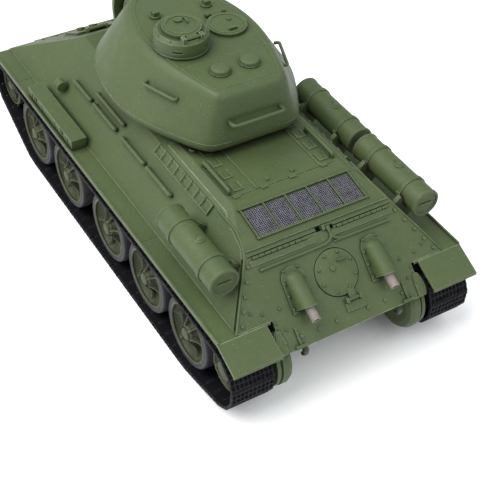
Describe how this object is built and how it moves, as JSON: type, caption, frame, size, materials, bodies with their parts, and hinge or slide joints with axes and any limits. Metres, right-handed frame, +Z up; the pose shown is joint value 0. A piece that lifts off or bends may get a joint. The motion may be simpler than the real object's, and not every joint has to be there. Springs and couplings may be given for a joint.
{
  "type": "remote control tank",
  "caption": "Remote control medium tank with sloped armour, turning turret, elevating recoiling gun, tracked running gear, fuel drums and opening hatches",
  "frame": {"origin": "Middle of the overall length and width, on the ground under the tracks", "axes": "+X runs forward to the muzzle, +Y to the vehicle's left, +Z up"},
  "size_m": [0.3368, 0.1246, 0.1118],
  "materials": {
    "hull_green": "matte",
    "mesh_metal": "satin",
    "pipe_metal": "matte",
    "belly_black": "matte",
    "cell_wrap": "gloss",
    "board": "satin",
    "gear_steel": "satin",
    "track_black": "matte",
    "tyre_rubber": "matte"
  },
  "bodies": {
    "hull": {"lower_hull": "hull_green", "upper_hull": "hull_green", "engine_deck": "hull_green", "rear_plate": "hull_green", "battery_cover": "belly_black", "grille_frame": "hull_green", "grille_mesh": "mesh_metal", "side_louvres": "hull_green", "exhaust_covers": "hull_green", "exhaust_pipes": "pipe_metal", "fenders": "hull_green", "mud_flaps": "hull_green", "fuel_drums": "hull_green", "drum_brackets": "hull_green", "toolbox": "hull_green", "hull_handrails": "hull_green", "headlight": "hull_green", "bow_gun": "hull_green", "axle_arms": "gear_steel", "final_drives": "hull_green", "track_left": "track_black", "track_right": "track_black", "battery_pack": "cell_wrap", "control_board": "board", "drive_units": "gear_steel", "screws": "gear_steel"},
    "trans_hatch": {"transmission_hatch": "hull_green"},
    "driver_lid": {"driver_hatch": "hull_green"},
    "turret": {"turret_shell": "hull_green", "turret_fittings": "hull_green"},
    "gun": {"gun_mantlet": "hull_green"},
    "barrel": {"gun_barrel": "hull_green"},
    "cupola_ring": {"cupola": "hull_green"},
    "cupola_lid": {"cupola_hatch": "hull_green"},
    "loader_lid": {"loader_hatch": "hull_green"},
    "sprocket_body_l": {"sprocket_left": "hull_green"},
    "idler_body_l": {"idler_left": "hull_green"},
    "wheel_l1": {"road_wheel_l1": "hull_green", "tyre_l1": "tyre_rubber"},
    "wheel_l2": {"road_wheel_l2": "hull_green", "tyre_l2": "tyre_rubber"},
    "wheel_l3": {"road_wheel_l3": "hull_green", "tyre_l3": "tyre_rubber"},
    "wheel_l4": {"road_wheel_l4": "hull_green", "tyre_l4": "tyre_rubber"},
    "wheel_l5": {"road_wheel_l5": "hull_green", "tyre_l5": "tyre_rubber"},
    "sprocket_body_r": {"sprocket_right": "hull_green"},
    "idler_body_r": {"idler_right": "hull_green"},
    "wheel_r1": {"road_wheel_r1": "hull_green", "tyre_r1": "tyre_rubber"},
    "wheel_r2": {"road_wheel_r2": "hull_green", "tyre_r2": "tyre_rubber"},
    "wheel_r3": {"road_wheel_r3": "hull_green", "tyre_r3": "tyre_rubber"},
    "wheel_r4": {"road_wheel_r4": "hull_green", "tyre_r4": "tyre_rubber"},
    "wheel_r5": {"road_wheel_r5": "hull_green", "tyre_r5": "tyre_rubber"}
  },
  "joints": [
    {"name": "turret_yaw", "type": "hinge", "parent": "hull", "child": "turret", "pos_m": [-0.0225, 0, 0.069], "axis": [0, 0, 1], "continuous": true},
    {"name": "gun_elevation", "type": "hinge", "parent": "turret", "child": "gun", "pos_m": [0.014, 0, 0.085], "axis": [0, -1, 0], "range_deg": [-5, 20]},
    {"name": "gun_recoil", "type": "slide", "parent": "gun", "child": "barrel", "axis": [-1, 0, 0], "range_m": [0, 0.008]},
    {"name": "cupola_turn", "type": "hinge", "parent": "turret", "child": "cupola_ring", "pos_m": [-0.034, 0.0125, 0.1008], "axis": [0, 0, 1], "continuous": true},
    {"name": "cupola_lid_hinge", "type": "hinge", "parent": "cupola_ring", "child": "cupola_lid", "pos_m": [-0.0442, 0.0125, 0.1102], "axis": [0, -1, 0], "range_deg": [0, 100]},
    {"name": "loader_lid_hinge", "type": "hinge", "parent": "turret", "child": "loader_lid", "pos_m": [-0.0194, -0.0135, 0.1016], "axis": [0, 1, 0], "range_deg": [0, 100]},
    {"name": "driver_lid_hinge", "type": "hinge", "parent": "hull", "child": "driver_lid", "pos_m": [0.04827, 0.0165, 0.06411], "axis": [0, -1, 0], "range_deg": [0, 90]},
    {"name": "trans_hatch_hinge", "type": "hinge", "parent": "hull", "child": "trans_hatch", "pos_m": [-0.15773, -0.0028, 0.04185], "axis": [0, -1, 0], "range_deg": [0, 95]},
    {"name": "sprocket_spin_l", "type": "hinge", "parent": "hull", "child": "sprocket_body_l", "pos_m": [-0.1512, 0.0508, 0.0215], "axis": [0, 1, 0], "continuous": true},
    {"name": "idler_spin_l", "type": "hinge", "parent": "hull", "child": "idler_body_l", "pos_m": [0.0705, 0.0508, 0.028], "axis": [0, 1, 0], "continuous": true},
    {"name": "wheel_spin_l1", "type": "hinge", "parent": "hull", "child": "wheel_l1", "pos_m": [0.0375, 0.0508, 0.0189], "axis": [0, 1, 0], "continuous": true},
    {"name": "wheel_spin_l2", "type": "hinge", "parent": "hull", "child": "wheel_l2", "pos_m": [-0.0015, 0.0508, 0.0189], "axis": [0, 1, 0], "continuous": true},
    {"name": "wheel_spin_l3", "type": "hinge", "parent": "hull", "child": "wheel_l3", "pos_m": [-0.046, 0.0508, 0.0189], "axis": [0, 1, 0], "continuous": true},
    {"name": "wheel_spin_l4", "type": "hinge", "parent": "hull", "child": "wheel_l4", "pos_m": [-0.0845, 0.0508, 0.0189], "axis": [0, 1, 0], "continuous": true},
    {"name": "wheel_spin_l5", "type": "hinge", "parent": "hull", "child": "wheel_l5", "pos_m": [-0.123, 0.0508, 0.0189], "axis": [0, 1, 0], "continuous": true},
    {"name": "sprocket_spin_r", "type": "hinge", "parent": "hull", "child": "sprocket_body_r", "pos_m": [-0.1512, -0.0508, 0.0215], "axis": [0, 1, 0], "continuous": true},
    {"name": "idler_spin_r", "type": "hinge", "parent": "hull", "child": "idler_body_r", "pos_m": [0.0705, -0.0508, 0.028], "axis": [0, 1, 0], "continuous": true},
    {"name": "wheel_spin_r1", "type": "hinge", "parent": "hull", "child": "wheel_r1", "pos_m": [0.0375, -0.0508, 0.0189], "axis": [0, 1, 0], "continuous": true},
    {"name": "wheel_spin_r2", "type": "hinge", "parent": "hull", "child": "wheel_r2", "pos_m": [-0.0015, -0.0508, 0.0189], "axis": [0, 1, 0], "continuous": true},
    {"name": "wheel_spin_r3", "type": "hinge", "parent": "hull", "child": "wheel_r3", "pos_m": [-0.046, -0.0508, 0.0189], "axis": [0, 1, 0], "continuous": true},
    {"name": "wheel_spin_r4", "type": "hinge", "parent": "hull", "child": "wheel_r4", "pos_m": [-0.0845, -0.0508, 0.0189], "axis": [0, 1, 0], "continuous": true},
    {"name": "wheel_spin_r5", "type": "hinge", "parent": "hull", "child": "wheel_r5", "pos_m": [-0.123, -0.0508, 0.0189], "axis": [0, 1, 0], "continuous": true}
  ],
  "couplings": [
    {"joint": "idler_spin_l", "follows": "sprocket_spin_l", "ratio": 1.2963},
    {"joint": "wheel_spin_l1", "follows": "sprocket_spin_l", "ratio": 0.8092},
    {"joint": "wheel_spin_l2", "follows": "sprocket_spin_l", "ratio": 0.8092},
    {"joint": "wheel_spin_l3", "follows": "sprocket_spin_l", "ratio": 0.8092},
    {"joint": "wheel_spin_l4", "follows": "sprocket_spin_l", "ratio": 0.8092},
    {"joint": "wheel_spin_l5", "follows": "sprocket_spin_l", "ratio": 0.8092},
    {"joint": "idler_spin_r", "follows": "sprocket_spin_r", "ratio": 1.2963},
    {"joint": "wheel_spin_r1", "follows": "sprocket_spin_r", "ratio": 0.8092},
    {"joint": "wheel_spin_r2", "follows": "sprocket_spin_r", "ratio": 0.8092},
    {"joint": "wheel_spin_r3", "follows": "sprocket_spin_r", "ratio": 0.8092},
    {"joint": "wheel_spin_r4", "follows": "sprocket_spin_r", "ratio": 0.8092},
    {"joint": "wheel_spin_r5", "follows": "sprocket_spin_r", "ratio": 0.8092}
  ]
}
